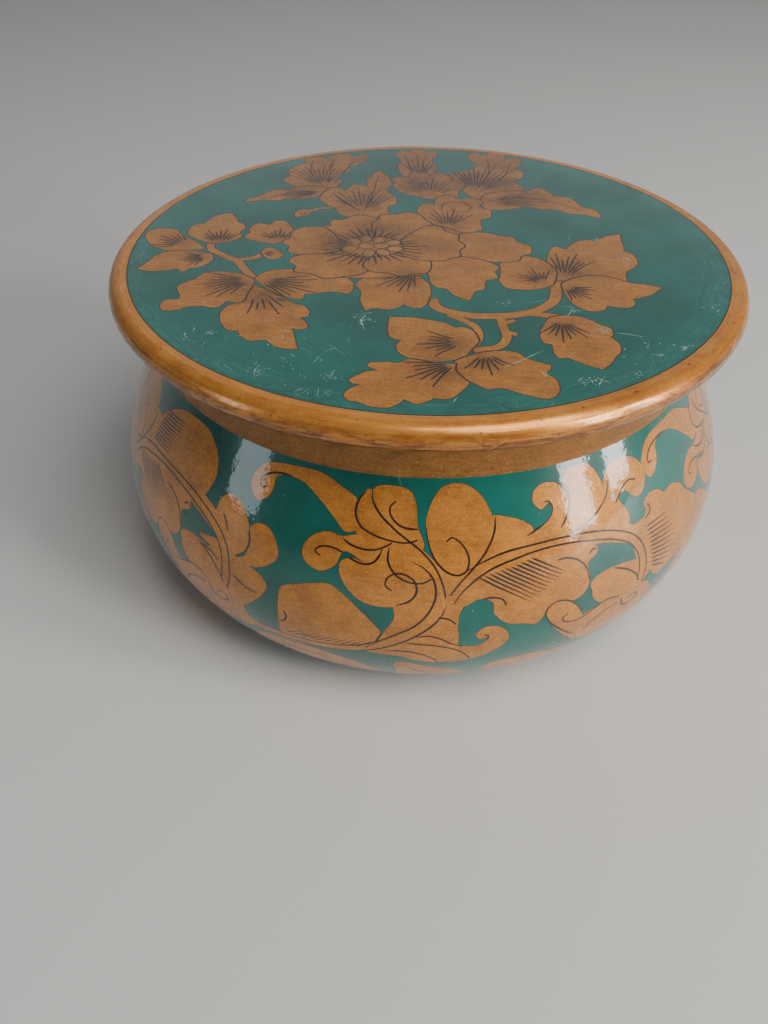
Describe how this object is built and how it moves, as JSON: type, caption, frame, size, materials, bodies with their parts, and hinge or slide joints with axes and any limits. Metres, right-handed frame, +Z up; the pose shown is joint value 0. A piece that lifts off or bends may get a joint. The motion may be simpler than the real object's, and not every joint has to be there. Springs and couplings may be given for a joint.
{
  "type": "hand-painted lacquer box",
  "caption": "Round turned wooden box with a full belly, straight collar and flat lift-off lid with a rounded rim, in green lacquer with gold floral painting.",
  "frame": {"origin": "centre of the bowl's flat underside", "axes": "+Z up along the turning axis, +X to the right and -Y towards the viewer of the picture"},
  "size_m": [0.1584, 0.1584, 0.08],
  "materials": {
    "bowl_lacquer": "glossy green lacquer on turned wood, with gold painted collar and leaf scrolls",
    "lid_lacquer": "glossy green lacquer on turned wood, with a gold rim and a gold painted flower spray"
  },
  "bodies": {
    "root": {"bowl": "bowl_lacquer", "lid": "lid_lacquer"}
  },
  "joints": []
}
